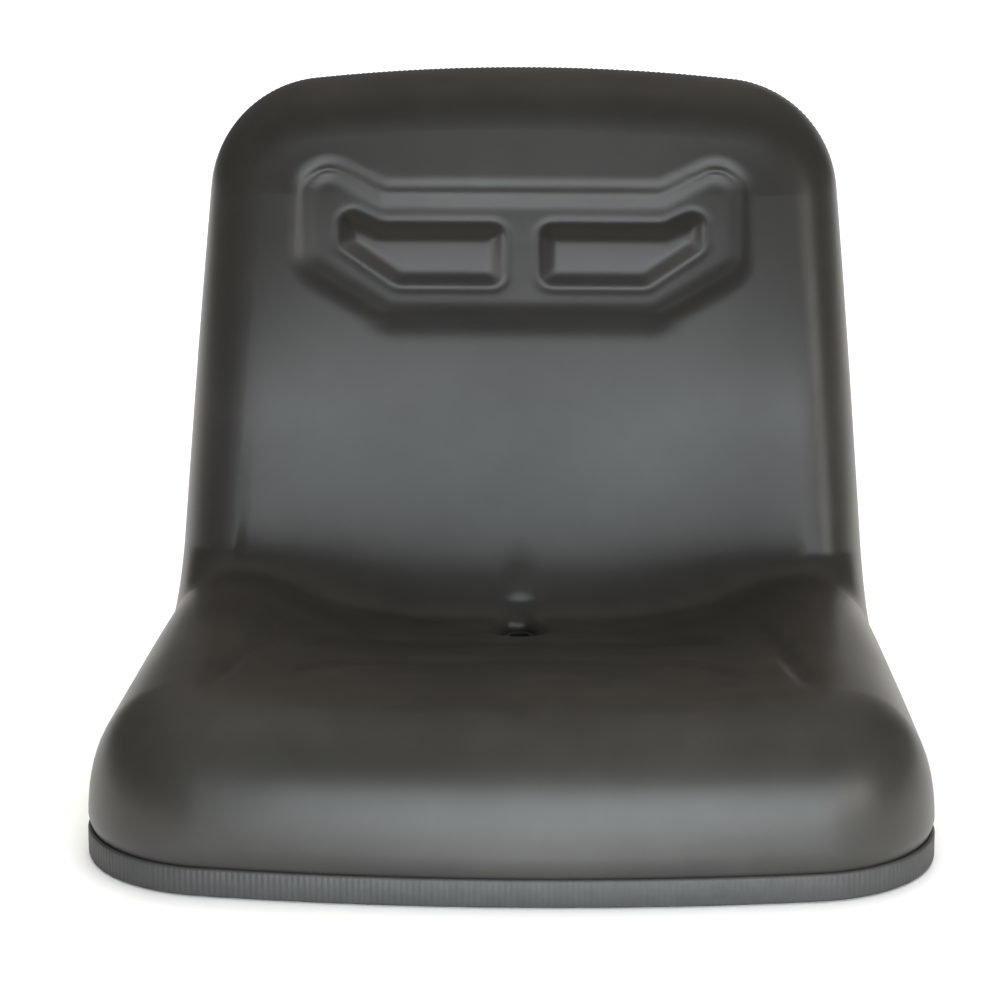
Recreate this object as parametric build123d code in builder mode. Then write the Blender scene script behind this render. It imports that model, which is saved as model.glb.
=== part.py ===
from build123d import *
from math import cos, sin, radians, hypot
import os

# Tractor bucket seat: a moulded cushion on a stamped pan, with an edge trim, a drain and mounting nuts.
# Frame: origin under the middle of the seat's box, X across, -Y to the front, Z up. Millimetres.
# The seat is one flat blank, folded along a keel: level under the sitter, then a bend, then the back.
# A place on it is (across, along, rise): along runs from the front edge over the bend to the top edge,
# and rise is the height over the rim, square to the blank, on the sitter's side.

# Blank outline, measured over the edge trim
seat_half_width = 241.0  # at the front corners, before they are rounded
waist_half_width = 223.0  # at the bend
waist_along = 370.0
top_half_width = 193.0  # at the top corners, before they are rounded
blank_length = 750.0  # from the front edge to the top edge, along the keel
front_bow = 27.0  # how far the front edge is arched
top_bow = 15.0  # how far the top edge is arched
front_corner_radius = 82.0
top_corner_radius = 74.0

# Keel, the side view that the blank is folded along
seat_run = 317.0  # level length before the bend
bend_radius = 90.0
recline = 6.0  # of the back from upright, degrees

# Cushion
nose_height = 80.0  # rise of the brow, the top of the rounded edge, at the front
side_height = 76.0  # at the sides of the seat
wing_height = 56.0  # at the sides of the back
crown_height = 44.0  # at the top of the back
nose_roll = 58.0  # width of the rounded edge at the front
side_roll = 46.0
back_roll = 34.0
drain_height = 46.0  # rise of the sitting face at the drain
lumbar_height = 40.0  # at the small of the back
panel_height = 45.0  # under the relief
roll_fullness = 2.4  # exponent of the rounded edge's section
dish_power = 9.0  # how late the face turns up towards its edge

# Edge trim, a U-channel
trim_height = 16.0
trim_wall = 2.5
trim_web = 3.0
trim_edge_break = 1.2
trim_lip_drop = 2.0  # how much lower the hidden wall is than the one in view

# Pan, and the cushion's hem that is pinched between its flange and the trim
sheet = 1.5
hem = 3.2
hem_depth = 9.0
fit_gap = 0.2  # clearance between mating pieces
pan_rise = 20.0  # rise of the pan's floor
pan_roll = 26.0  # width of the pan's rounded edge

# Drain
drain_setback = 8.0  # behind the start of the bend
drain_bore = 12.0
eyelet_wall = 1.5
eyelet_flange_width = 4.0
eyelet_flange_thickness = 2.0
eyelet_flange_edge = 1.0  # thickness at the flange's rim
eyelet_lip_width = 2.0
eyelet_lip_thickness = 1.5
pit_diameter = 42.0
pit_depth = 9.0
pit_lead = 6.0  # how far the pit's cone reaches up the back over the drain

# Mounting nuts, a rectangle of weld nuts on the pan
bolt_spacing_across = 285.75
bolt_spacing_along = 203.2
bolt_centre_along = 172.0
nut_bore = 6.8
nut_across_flats = 13.0
nut_height = 6.5
pilot_diameter = 10.0
bolt_room = 10.0  # free depth over each nut for the end of its bolt
land_diameter = 30.0  # flat land pressed round each nut
land_depth = 2.5

# Relief on the back: a grooved outline with two sunk windows
relief_along = 642.0
relief_half_width = 137.0
relief_top = 31.0  # top edge, from relief_along
relief_horn = 48.0  # tips of the horns
relief_bottom = -47.0
horn_tip_across = 121.0
horn_root_across = 87.0
relief_foot_across = 84.0
relief_shoulder = 38.0
relief_hip = -15.0
groove_width = 6.0
groove_depth = 4.0
window_inner = 10.0
window_outer = 115.0
window_top = 12.5
window_horn = 20.5
window_horn_across = 105.0
window_shoulder = 18.0
window_bottom = -28.5
window_foot_across = 79.0
window_root_across = 88.0
window_hip = -3.5
window_depth = 7.0
relief_corner = 10.0
window_corner = 6.0

# Pressed beads that stiffen the pan under the sitter
bead_width = 18.0
bead_depth = 4.0
bead_draft = 45.0  # slope of a bead's wall, degrees
bead_length = 150.0
bead_spacing = 120.0
bead_count = 2

# Points taken along each stretch of the half outline: front, front corner, side, top corner, top
outline_steps = (4, 4, 14, 4, 3)

# Places of the rings round the rounded edges, as angles from the rim
roll_angles = (0, 15, 30, 45, 60, 75, 90)
pan_angles = (0, 30, 60, 90)

# Places of the lengthwise lines of the cushion's face, as shares of the half width inside its brow
face_shares = (0.93, 0.86, 0.77, 0.65, 0.4)

os.makedirs("parts", exist_ok=True)

# Keel, drawn flat: X is depth from the front edge, Y is height
with BuildLine() as keel:
    level = Line((0, trim_height), (seat_run, trim_height))
    bend = JernArc(level @ 1, level % 1, bend_radius, 90 - recline)
    bend_end = seat_run + bend.length
    back = Line(bend @ 1, bend @ 1 + (bend % 1) * (blank_length - bend_end))
keel_wire = keel.wire()
overall_depth = (back @ 1).X + trim_height * sin(radians(90 - recline))


def fold(across, along, rise):
    """The place of a blank point once the blank is folded along the keel."""
    foot = keel_wire.position_at(along, PositionMode.LENGTH)
    lead = keel_wire.tangent_at(along, PositionMode.LENGTH)
    return Vector(across, foot.X - rise * lead.Y - overall_depth / 2, foot.Y + rise * lead.X)


# Flat half blank, X across and Y along
with BuildSketch() as half_blank:
    with BuildLine():
        front_edge = TangentArc((0, 0), (seat_half_width, front_bow), tangent=(1, 0))
        side_edge = ThreePointArc(
            front_edge @ 1, (waist_half_width, waist_along), (top_half_width, blank_length - top_bow)
        )
        top_edge = TangentArc((0, blank_length), side_edge @ 1, tangent=(1, 0))
        Line((0, blank_length), (0, 0))
    make_face()
    outer_corners = half_blank.vertices().group_by(Axis.X)[1:]
    corners = [corner for group in outer_corners for corner in group]
    fillet(min(corners, key=lambda corner: corner.Y), front_corner_radius)
    outer_corners = half_blank.vertices().group_by(Axis.X)[1:]
    corners = [corner for group in outer_corners for corner in group]
    fillet(max(corners, key=lambda corner: corner.Y), top_corner_radius)


def outline_stations():
    """Points of the half outline with their outward directions, from the front centre to the top centre."""
    rim_edges = half_blank.edges().filter_by(GeomType.CIRCLE).sort_by(Axis.Y)
    stations = []
    for edge, steps in zip(rim_edges, outline_steps):
        forward = edge.position_at(1).Y > edge.position_at(0).Y
        for step in range(steps):
            share = step / steps if forward else 1 - step / steps
            point = edge.position_at(share)
            lead = edge.tangent_at(share) * (1 if forward else -1)
            stations.append((point.X, point.Y, lead.Y, -lead.X))
    stations.append((0, blank_length, 0, 1))
    return stations


half_ring = outline_stations()
other_half = [(-x, along, -nx, ny) for x, along, nx, ny in half_ring[-2:0:-1]]
ring = half_ring + other_half
knots = [0.0]
for here, after in zip(ring, ring[1:] + ring[:1]):
    knots.append(knots[-1] + hypot(after[0] - here[0], after[1] - here[1]))


def ease(value, start, end):
    """A smooth step from 0 at start to 1 at end."""
    share = min(max((value - start) / (end - start), 0), 1)
    return share * share * (3 - 2 * share)


def brow(along):
    """Rise of the cushion's brow beside a point of the rim."""
    seat = nose_height + (side_height - nose_height) * ease(along, front_corner_radius, seat_run)
    bent = seat + (wing_height - side_height) * ease(along, seat_run, bend_end + bend_radius)
    return bent + (crown_height - wing_height) * ease(along, bend_end + bend_radius, blank_length)


def roll(along):
    """Width of the cushion's rounded edge beside a point of the rim."""
    seat = nose_roll + (side_roll - nose_roll) * ease(along, front_corner_radius, seat_run)
    return seat + (back_roll - side_roll) * ease(along, seat_run, bend_end)


def face(along):
    """Rise of the cushion's face along its middle."""
    seat = nose_height + (drain_height - nose_height) * ease(along, nose_roll, drain_along)
    lumbar = seat + (lumbar_height - drain_height) * ease(along, drain_along, bend_end)
    panel = lumbar + (panel_height - lumbar_height) * ease(along, bend_end, relief_along)
    return panel + (crown_height - panel_height) * ease(along, relief_along, blank_length - back_roll)


def edge_section(angle):
    """The inset and rise shares of the rounded edge's section at an angle from the rim."""
    turn = radians(angle)
    return 1 - cos(turn) ** (2 / roll_fullness), sin(turn) ** (2 / roll_fullness)


def rim_row(inset, rise):
    """A ring at one inset from the trim's face and one rise."""
    return [fold(x - inset * nx, along - inset * ny, rise) for x, along, nx, ny in ring]


def closed_wire(row):
    """A smooth closed curve through a ring's points."""
    return Wire([Edge.make_spline(row, periodic=True, parameters=knots)])


def bands(*rows):
    """Straight bands from each ring to the next."""
    faces = []
    for row, after in zip(rows, rows[1:]):
        faces.extend(Shell.make_loft([closed_wire(row), closed_wire(after)], ruled=True).faces())
    return faces


def halves(row):
    """The two halves of a ring's curve, each from the front to the top."""
    rim = closed_wire(row).edge()
    return rim.trim(0, 0.5), rim.trim(0.5, 1).reversed(reconstruct=True)


def floor(row):
    """A face that runs straight across from one half of a ring to the other."""
    return Face.make_surface_from_curves(*halves(row))


def face_line(share):
    """A lengthwise line of the cushion's face, at a share of the half width, right and left."""
    reach = share**dish_power * (dish_power + 1 - dish_power * share)
    points = []
    for x, along, nx, ny in half_ring:
        inset = hem_outer + roll(along)
        place = along - inset * ny
        rise = face(place) + (brow(along) - face(place)) * reach
        points.append(fold((x - inset * nx) * share, place, rise))
    line = Edge.make_spline(points, parameters=knots[: len(half_ring)])
    return line, line.mirror(Plane.YZ)


def pan_side(inset, edge_rise, lift):
    """Rings of one side of the pan, or of the foam over it: upright edge, then rounded edge."""
    rows = [rim_row(inset, edge_rise)]
    width = flange_outer + pan_roll - inset
    for angle in pan_angles:
        inset_share, rise_share = edge_section(angle)
        rows.append(rim_row(inset + width * inset_share, (pan_rise + lift) * rise_share))
    return rows


def back_plane(along, rise):
    """A plane on the straight of the back, its Y up the back and its Z to the sitter."""
    origin = fold(0, along, rise)
    return Plane(origin=origin, x_dir=(1, 0, 0), z_dir=fold(0, along, rise + 1) - origin)


# Places that follow from the sizes above
drain_along = seat_run + drain_setback
drain_y = fold(0, drain_along, 0).Y
bolt_y = fold(0, bolt_centre_along, 0).Y
hem_outer = trim_wall + fit_gap
hem_inner = hem_outer + hem
flange_outer = hem_inner + fit_gap
flange_inner = flange_outer + sheet
slot_inner = flange_inner + fit_gap
trim_inner = slot_inner + trim_wall
flange_depth = trim_height - trim_web - fit_gap
pan_floor = trim_height + pan_rise
land_floor = pan_floor - land_depth
pit_radius = pit_diameter / 2
eyelet_seat = trim_height + drain_height - pit_depth
barrel_radius = drain_bore / 2 + eyelet_wall
eyelet_radius = barrel_radius + eyelet_flange_width
nut_corner_radius = nut_across_flats / 2 / cos(radians(30))
pit_slope = (pit_radius - eyelet_radius - fit_gap) / pit_depth

# Rings of the pan's two sides, and of the cushion's underside that lies on it and ends in the hem
pan_rows = pan_side(flange_outer, -flange_depth, 0)
under_rows = pan_side(flange_inner, -flange_depth, -sheet)
bed_rows = pan_side(hem_inner, -hem_depth, fit_gap)

# Rings of the cushion's skin: hem edge, then the rounded edge from rim to brow
skin_rows = [rim_row(hem_outer, -hem_depth)]
for angle in roll_angles:
    inset_share, rise_share = edge_section(angle)
    row = []
    for x, along, nx, ny in ring:
        inset = hem_outer + roll(along) * inset_share
        row.append(fold(x - inset * nx, along - inset * ny, brow(along) * rise_share))
    skin_rows.append(row)

seated = (Align.CENTER, Align.CENTER, Align.MIN)

# Pan, stamped from one sheet: flanged all round, with beads, a drain hole and four nut holes
with BuildPart() as seat_pan:
    pan_faces = bands(pan_rows[0], under_rows[0])
    for rows in (pan_rows, under_rows):
        pan_faces.extend([*bands(*rows), floor(rows[-1])])
    add(Solid(Shell(pan_faces)))
    with BuildSketch(Plane((0, bolt_y, pan_floor - sheet / 2))):
        with GridLocations(bead_spacing, 0, bead_count, 1):
            SlotOverall(bead_length + 2 * sheet, bead_width + 2 * sheet, rotation=90)
    extrude(amount=-bead_depth - sheet / 2, taper=90 - bead_draft)
    with BuildSketch(Plane((0, bolt_y, pan_floor + sheet))):
        with GridLocations(bead_spacing, 0, bead_count, 1):
            SlotOverall(bead_length + 2 * sheet, bead_width + 2 * sheet, rotation=90)
    extrude(amount=-bead_depth - sheet, taper=90 - bead_draft, mode=Mode.SUBTRACT)
    with Locations((0, bolt_y, land_floor - sheet)):
        with GridLocations(bolt_spacing_across, bolt_spacing_along, 2, 2):
            Cylinder(land_diameter / 2 + sheet, land_depth + sheet / 2, align=seated)
    with Locations((0, bolt_y, land_floor)):
        with GridLocations(bolt_spacing_across, bolt_spacing_along, 2, 2):
            Cylinder(land_diameter / 2, land_depth + sheet, align=seated, mode=Mode.SUBTRACT)
            Hole(pilot_diameter / 2 + fit_gap, depth=2 * sheet)
    with Locations((0, drain_y, pan_floor)):
        Hole(barrel_radius + fit_gap, depth=2 * sheet)
seat_pan.part.label = "seat_pan"
export_step(seat_pan.part, "parts/seat_pan.step")

# Cushion, foam moulded with its skin: relief on the back, drain pit, hem, and room for nuts and bolts
with BuildPart() as seat_cushion:
    cushion_faces = [*bands(bed_rows[0], *skin_rows), *bands(*bed_rows), floor(bed_rows[-1])]
    lines = [halves(skin_rows[-1])]
    lines.extend(face_line(share) for share in face_shares)
    for outer, inner in zip(lines, lines[1:]):
        for one, other in zip(outer, inner):
            cushion_faces.append(Face.make_surface_from_curves(one, other))
    cushion_faces.append(Face.make_surface_from_curves(*lines[-1]))
    add(Solid(Shell(cushion_faces)))
    with BuildSketch(back_plane(relief_along, panel_height - groove_depth)):
        with BuildLine():
            Polyline(
                (0, relief_top),
                (horn_root_across, relief_top),
                (horn_tip_across, relief_horn),
                (relief_half_width, relief_shoulder),
                (relief_half_width, relief_hip),
                (relief_foot_across, relief_bottom),
                (0, relief_bottom),
            )
            mirror(about=Plane.YZ)
        outline = make_face()
        fillet(outline.vertices().filter_by(lambda corner: abs(corner.X) > fit_gap), relief_corner)
        offset(amount=-groove_width, mode=Mode.SUBTRACT)
    extrude(amount=nose_height, mode=Mode.SUBTRACT)
    with BuildSketch(back_plane(relief_along, panel_height - window_depth)):
        with BuildLine():
            Polyline(
                (window_inner, window_top),
                (window_root_across, window_top),
                (window_horn_across, window_horn),
                (window_outer, window_shoulder),
                (window_outer, window_hip),
                (window_foot_across, window_bottom),
                (window_inner, window_bottom),
                close=True,
            )
        pane = make_face()
        fillet(pane.vertices(), window_corner)
        mirror(about=Plane.YZ)
    extrude(amount=nose_height, mode=Mode.SUBTRACT)
    with BuildSketch(Plane.XZ.offset(-drain_y)):
        with BuildLine():
            Polyline(
                (0, eyelet_seat),
                (eyelet_radius + fit_gap, eyelet_seat),
                (pit_radius + pit_slope * pit_lead, eyelet_seat + pit_depth + pit_lead),
                (0, eyelet_seat + pit_depth + pit_lead),
                close=True,
            )
        make_face()
    revolve(axis=Axis((0, drain_y, 0), (0, 0, 1)), mode=Mode.SUBTRACT)
    with Locations((0, drain_y, eyelet_seat)):
        Hole(barrel_radius + fit_gap, depth=eyelet_seat - pan_floor + sheet)
    with Locations((0, bolt_y, land_floor + nut_height + bolt_room)):
        with GridLocations(bolt_spacing_across, bolt_spacing_along, 2, 2):
            Hole(nut_corner_radius + fit_gap, depth=nut_height + bolt_room + land_depth)
seat_cushion.part.label = "seat_cushion"
export_step(seat_cushion.part, "parts/seat_cushion.step")

# Edge trim, a U-channel pushed over the flange and the hem all round, its outer edges broken
trim_section = (
    (0, -trim_edge_break),
    (trim_edge_break, 0),
    (trim_wall, 0),
    (trim_wall, trim_web - trim_height),
    (slot_inner, trim_web - trim_height),
    (slot_inner, -trim_lip_drop),
    (trim_inner, -trim_lip_drop),
    (trim_inner, trim_edge_break - trim_height),
    (trim_inner - trim_edge_break, -trim_height),
    (trim_edge_break, -trim_height),
    (0, trim_edge_break - trim_height),
)
with BuildPart() as edge_trim:
    trim_rows = [rim_row(inset, rise) for inset, rise in trim_section]
    add(Solid(Shell(bands(*trim_rows, trim_rows[0]))))
edge_trim.part.label = "edge_trim"
export_step(edge_trim.part, "parts/edge_trim.step")

# Drain eyelet: flange in the pit, barrel through foam and pan, lip under the pan
lip_top = pan_floor - sheet - fit_gap
with BuildPart() as drain_eyelet:
    with BuildSketch(Plane.XZ.offset(-drain_y)):
        with BuildLine():
            Polyline(
                (drain_bore / 2, lip_top - eyelet_lip_thickness),
                (barrel_radius + eyelet_lip_width, lip_top - eyelet_lip_thickness),
                (barrel_radius + eyelet_lip_width, lip_top),
                (barrel_radius, lip_top),
                (barrel_radius, eyelet_seat),
                (eyelet_radius, eyelet_seat),
                (eyelet_radius, eyelet_seat + eyelet_flange_edge),
                (barrel_radius, eyelet_seat + eyelet_flange_thickness),
                (drain_bore / 2, eyelet_seat + eyelet_flange_thickness),
                close=True,
            )
        make_face()
    revolve(axis=Axis((0, drain_y, 0), (0, 0, 1)))
drain_eyelet.part.label = "drain_eyelet"
export_step(drain_eyelet.part, "parts/drain_eyelet.step")

# Weld nuts: hexagons on the pan, each with a pilot through the sheet
with BuildPart() as weld_nuts:
    with BuildSketch(Plane.XY.offset(land_floor)):
        with Locations((0, bolt_y)):
            with GridLocations(bolt_spacing_across, bolt_spacing_along, 2, 2):
                RegularPolygon(nut_across_flats / 2, 6, major_radius=False)
    extrude(amount=nut_height)
    with BuildSketch(Plane.XY.offset(land_floor)):
        with Locations((0, bolt_y)):
            with GridLocations(bolt_spacing_across, bolt_spacing_along, 2, 2):
                Circle(pilot_diameter / 2)
    extrude(amount=-sheet)
    with Locations((0, bolt_y, land_floor + nut_height)):
        with GridLocations(bolt_spacing_across, bolt_spacing_along, 2, 2):
            Hole(nut_bore / 2, depth=nut_height + 2 * sheet)
weld_nuts.part.label = "weld_nuts"
export_step(weld_nuts.part, "parts/weld_nuts.step")
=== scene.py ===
import math

import bmesh
import bpy
import numpy as np
from bpy.props import FloatProperty, FloatVectorProperty, IntProperty, PointerProperty
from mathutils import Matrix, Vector


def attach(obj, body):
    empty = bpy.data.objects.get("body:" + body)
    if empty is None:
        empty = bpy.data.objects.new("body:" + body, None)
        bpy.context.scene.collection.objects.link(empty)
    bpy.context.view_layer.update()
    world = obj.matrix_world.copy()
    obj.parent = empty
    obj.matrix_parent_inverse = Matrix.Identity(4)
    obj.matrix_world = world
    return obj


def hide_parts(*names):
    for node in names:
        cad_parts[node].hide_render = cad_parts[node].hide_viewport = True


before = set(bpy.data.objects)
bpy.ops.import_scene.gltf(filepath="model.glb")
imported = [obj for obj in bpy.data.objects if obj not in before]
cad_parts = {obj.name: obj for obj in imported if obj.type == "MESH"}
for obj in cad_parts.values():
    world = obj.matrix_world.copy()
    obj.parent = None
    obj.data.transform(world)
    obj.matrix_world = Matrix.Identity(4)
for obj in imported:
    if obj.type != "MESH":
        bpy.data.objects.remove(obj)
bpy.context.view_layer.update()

bl_info = {
    "name": "Tractor seat dressing",
    "version": (1, 0, 0),
    "blender": (4, 5, 0),
    "location": "View3D > Sidebar > Seat",
    "description": "Moulded vinyl cushion, ribbed edge trim, finishes and a studio for a tractor seat",
    "category": "Object",
}

TINY, FAR = 1e-6, 1e9
MIRROR = np.array([-1.0, 1.0, -1.0, 1.0])  # turns an outline place and its direction to the other side

# Creases beside the dish: where they start and run along the keel, how far from the middle they are
SLOT_START, SLOT_RUN, SLOT_OVERRUN = 0.105, 0.175, 0.2
SLOT_ACROSS, SLOT_DRAW = 0.166, 0.024
SLOT_FADE_IN, SLOT_FADE_OUT = (0.085, 0.135), (0.235, 0.300)

# Pleats across the dish: place of the middle, sweep, reach to the side and power of each
PLEATS = ((0.213, 0.080, 0.128, 4.0), (0.288, 0.055, 0.124, 6.0))
PLEAT_FRONT, PLEAT_BACK, PLEAT_END = 0.018, 0.006, 0.012

# Mesh rows of the cushion's face: their distances, and the detailed stretches at the drain and the relief
WIDE_ROW, CLOSE_ROW, FINE_ROW = 0.0032, 0.0018, 0.00125
DRAIN_BEFORE, DRAIN_AFTER = 0.032, 0.030
RELIEF_BEFORE, RELIEF_AFTER = 0.058, 0.060

# Drain pit: how far round its side the front wall turns into the back wall, and where its push ends
PIT_TURN, PIT_FADE = 0.7, 3.0
BORE_MARGIN = 0.002

# Rows of the cushion's edge are drawn together at the rim; its underside follows the pan in these steps
EDGE_ROW_POWER = 1.5
PAN_TURNS = np.radians((25.0, 50.0, 70.0, 90.0))
BED_SHARES = (0.8, 0.6, 0.4, 0.2, 0.08)

# Edge trim: points that its length is measured with, mesh steps in a rib, and rib depth on the rounded edges
RUN_POINTS, RIB_STEPS, RIB_EDGE = 2000, 4, 0.6

FLOOR_HALF, FLOOR_SHIFT, FLOOR_DROP = 6.0, 3.0, 0.0005
FLOOR_CELLS = 8


def length(name, default, description):
    """A size in metres that a user may change."""
    return FloatProperty(name=name, description=description, default=default, unit="LENGTH", precision=4)


def number(name, default, description):
    """A plain number that a user may change."""
    return FloatProperty(name=name, description=description, default=default, precision=3)


def angle(name, degrees, description):
    """An angle that a user may change."""
    return FloatProperty(name=name, description=description, default=math.radians(degrees), unit="ROTATION")


def count(name, default, description):
    """A number of pieces or steps that a user may change."""
    return IntProperty(name=name, description=description, default=default, min=1)


def colour(name, default, description):
    """A colour that a user may change."""
    return FloatVectorProperty(
        name=name, description=description, default=default, size=3, subtype="COLOR", min=0.0, max=1.0
    )


class SeatBlank(bpy.types.PropertyGroup):
    """The flat blank that the seat is folded from, and the keel it is folded along."""

    seat_half_width: length("Seat half width", 0.241, "Half width at the front corners, before rounding")
    waist_half_width: length("Waist half width", 0.223, "Half width at the bend")
    waist_along: length("Waist place", 0.370, "Where the waist is, from the front edge")
    top_half_width: length("Top half width", 0.193, "Half width at the top corners, before rounding")
    blank_length: length("Blank length", 0.750, "From the front edge to the top edge, along the keel")
    front_bow: length("Front bow", 0.027, "How far the front edge is arched")
    top_bow: length("Top bow", 0.0150, "How far the top edge is arched")
    front_corner_radius: length("Front corner radius", 0.082, "Radius of the front corners")
    top_corner_radius: length("Top corner radius", 0.074, "Radius of the top corners")
    seat_run: length("Seat run", 0.317, "Level length before the bend")
    bend_radius: length("Bend radius", 0.090, "Radius of the keel's bend")
    recline: angle("Recline", 6.0, "Lean of the back from upright")
    overall_depth: length("Overall depth", 0.453888, "Depth of the folded seat over its trim")


class CushionSizes(bpy.types.PropertyGroup):
    """Heights and rounded edges of the cushion, its dish and its drain."""

    nose_height: length("Nose height", 0.080, "Rise of the brow at the front")
    side_height: length("Side height", 0.076, "Rise of the brow at the sides of the seat")
    wing_height: length("Wing height", 0.056, "Rise of the brow at the sides of the back")
    crown_height: length("Crown height", 0.044, "Rise of the brow at the top")
    nose_roll: length("Nose roll", 0.058, "Width of the rounded edge at the front")
    side_roll: length("Side roll", 0.046, "Width of the rounded edge at the sides")
    back_roll: length("Back roll", 0.034, "Width of the rounded edge round the back")
    drain_height: length("Drain height", 0.046, "Rise of the face at the drain")
    panel_height: length("Panel height", 0.045, "Rise of the face under the relief")
    lumbar_lean: angle("Lumbar lean", 7.0, "Lean of the face from upright at the small of the back")
    foot_reach: length("Foot reach", 0.038, "Depth of the curve that joins the back's face to the dish")
    foot_rise: length("Foot rise", 0.130, "Height of that curve")
    side_foot_reach: length("Side foot reach", 0.058, "Depth of that curve at the sides of the dish")
    side_foot_rise: length("Side foot rise", 0.150, "Height of that curve at the sides of the dish")
    drain_setback: length("Drain setback", 0.008, "How far the drain is behind the start of the bend")
    roll_fullness: number("Roll fullness", 2.4, "Exponent of the rounded edge's section")
    dish_power: number("Dish power", 5.0, "How late the face turns up to its brow")
    hem: length("Hem", 0.0032, "Thickness of the hem in the trim")
    hem_depth: length("Hem depth", 0.009, "How deep the hem reaches into the trim")
    pan_rise: length("Pan rise", 0.020, "Rise of the pan's floor under the cushion")
    pan_roll: length("Pan roll", 0.026, "Width of the pan's rounded edge")
    pit_floor: length("Pit floor", 0.053, "Height of the drain pit's floor over the ground")
    pit_floor_radius: length("Pit floor radius", 0.0117, "Radius of the pit's flat floor")
    pit_slope: number("Pit slope", 1.1, "Spread of the pit's front wall for each unit of height")
    pit_back_slope: number("Pit back slope", 0.21, "Spread of its back wall for each unit of height")
    pit_rounding: length("Pit rounding", 0.004, "Softness of the pit's rim")
    pit_depth: length("Pit depth", 0.018, "Height over its floor where the pit's wall starts to close")
    pit_top: length("Pit top", 0.031, "Height over its floor where the pit ends")
    overhang: length("Overhang", 0.0024, "How far the rounded edge hangs over the trim")
    neck: length("Neck", 0.006, "Rise over which the edge swells out to its overhang")
    edge_rows: count("Edge rows", 18, "Mesh rows down the rounded edge")
    lip_setback: length("Lip setback", 0.080, "How far up the keel from the drain the lip over its pit is")
    lip_height: length("Lip height", 0.0022, "How far that lip stands out")
    lip_half_width: length("Lip half width", 0.009, "Half width of that lip")
    lip_half_rise: length("Lip half rise", 0.016, "Half height of that lip, along the keel")
    ease_reach: length("Bend easing", 0.076, "How far from the end of the bend its crease is rounded off")
    ease_border: count("Bend easing border", 14, "Columns over which that rounding fades out at the sides")
    ease_passes: count("Bend easing passes", 70, "Passes of that rounding")
    bore_radius: length("Bore radius", 0.0085, "Radius of the hole for the drain's eyelet")
    columns: count("Columns", 236, "Mesh columns across the face")


class ReliefSizes(bpy.types.PropertyGroup):
    """The sunk field on the back, its two raised pads, and the creases in the seat."""

    along: length("Place", 0.642, "Middle of the relief, from the front edge")
    half_width: length("Half width", 0.137, "Half width of the sunk field")
    top: length("Top", 0.031, "Top edge over the relief's middle")
    horn: length("Horn", 0.048, "Tips of the horns")
    bottom: length("Bottom", -0.047, "Bottom edge")
    horn_tip: length("Horn tip", 0.121, "Horn tip from the middle")
    horn_root: length("Horn root", 0.087, "Horn root from the middle")
    foot: length("Foot", 0.084, "End of the bottom edge")
    shoulder: length("Shoulder", 0.038, "Height of the outer shoulder")
    hip: length("Hip", -0.015, "Height of the outer hip")
    pad_inner: length("Pad inner", 0.010, "Inner end of a pad")
    pad_outer: length("Pad outer", 0.115, "Outer end of a pad")
    pad_top: length("Pad top", 0.0125, "Top edge of a pad")
    pad_horn: length("Pad horn", 0.0205, "Top of a pad's horn")
    pad_horn_across: length("Pad horn place", 0.105, "Pad's horn from the middle")
    pad_shoulder: length("Pad shoulder", 0.018, "Height of a pad's outer shoulder")
    pad_bottom: length("Pad bottom", -0.0285, "Bottom edge of a pad")
    pad_foot: length("Pad foot", 0.079, "End of a pad's bottom edge")
    pad_root: length("Pad root", 0.088, "End of a pad's top edge")
    pad_hip: length("Pad hip", -0.0035, "Height of a pad's hip")
    corner: length("Corner", 0.015, "Rounding of the field's corners")
    pad_corner: length("Pad corner", 0.009, "Rounding of a pad's corners")
    field_depth: length("Field depth", 0.0044, "How far the field is sunk")
    field_shoulder: length("Field shoulder", 0.0105, "Half width of the field's sloping edge")
    groove_depth: length("Groove depth", 0.0008, "Depth of the line round the field and its pads")
    groove_width: length("Groove width", 0.0018, "Half width of that line")
    pad_height: length("Pad height", 0.0058, "Height of a pad at its top")
    pad_fall: length("Pad fall", 0.0036, "How much lower it is at its bottom")
    pad_wall: length("Pad wall", 0.011, "Width of a pad's sloping edge")
    softening: count("Softening", 2, "Passes that ease the relief's creases")
    slot_depth: length("Slot depth", 0.0040, "Depth of the creases beside the seat's dish")
    slot_width: length("Slot width", 0.0065, "Half width of those creases")
    pleat_depth: length("Pleat depth", 0.0032, "Depth of the pleats across the seat")


class TrimSizes(bpy.types.PropertyGroup):
    """The ribbed U-channel round the edge."""

    height: length("Height", 0.016, "Height of the channel")
    wall: length("Wall", 0.0025, "Thickness of its walls")
    web: length("Web", 0.003, "Thickness of its bottom")
    gap: length("Gap", 0.0002, "Clearance to what it grips")
    sheet: length("Sheet", 0.0015, "Thickness of the pan's flange")
    lip_drop: length("Lip drop", 0.002, "How much lower the hidden wall is")
    edge_radius: length("Edge radius", 0.0016, "Rounding of the outer edges")
    rib_pitch: length("Rib pitch", 0.0033, "Distance from rib to rib")
    rib_depth: length("Rib depth", 0.0003, "Depth of the valleys between ribs")


class SeatFinishes(bpy.types.PropertyGroup):
    """Colours of the finishes."""

    vinyl: colour("Vinyl", (0.0250, 0.0232, 0.0200), "Cushion skin")
    vinyl_worn: colour("Rubbed vinyl", (0.0345, 0.0322, 0.0282), "Cushion skin where it is rubbed")
    # The trim is the cushion's black vinyl painted lighter: a painted highlight for light catching its ribs
    trim: colour("Trim", (0.045, 0.046, 0.045), "Edge trim")
    paint: colour("Paint", (0.016, 0.016, 0.016), "Pan paint")
    eyelet: colour("Eyelet", (0.020, 0.020, 0.019), "Drain eyelet")
    zinc: colour("Zinc", (0.50, 0.50, 0.47), "Plated nuts")
    floor: colour("Floor", (0.90, 0.90, 0.90), "Studio floor")


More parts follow.
